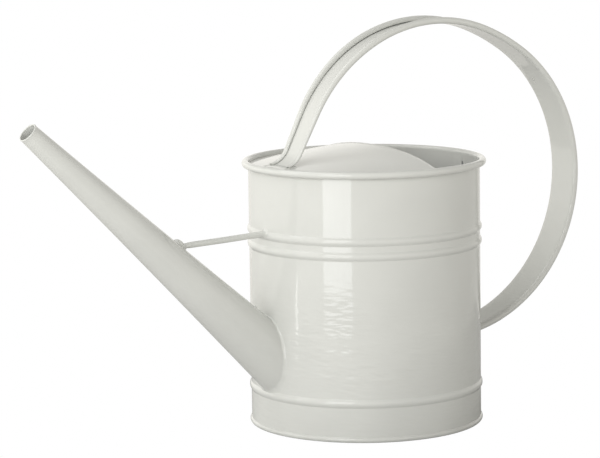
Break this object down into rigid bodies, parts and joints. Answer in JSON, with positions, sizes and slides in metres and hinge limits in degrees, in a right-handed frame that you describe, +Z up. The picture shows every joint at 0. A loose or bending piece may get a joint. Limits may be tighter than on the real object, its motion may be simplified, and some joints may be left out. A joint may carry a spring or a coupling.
{
  "type": "watering can",
  "caption": "Round sheet-steel watering can with a half cover, a long tapering braced spout and a hoop handle of strap with rolled edges.",
  "frame": {"origin": "on the ground, on the axis of the round body", "axes": "+Z up, spout towards -X, handle towards +X, Y across; the X-Z plane is the plane of the spout and handle"},
  "size_m": [0.4644, 0.1792, 0.2955],
  "materials": {
    "paint": "gloss off-white paint over sheet steel",
    "wire": "drawn steel wire, hidden in the rim",
    "solder": "plain soft solder along the inside of the side seam"
  },
  "bodies": {
    "root": {"body_shell": "paint", "rim_wire": "wire", "base_plate": "paint", "half_cover": "paint", "spout": "paint", "brace": "paint", "handle": "paint", "spout_solder": "paint", "brace_body_solder": "paint", "brace_spout_solder": "paint", "handle_front_solder": "paint", "handle_rear_solder": "paint", "seam_solder": "solder"}
  },
  "joints": []
}
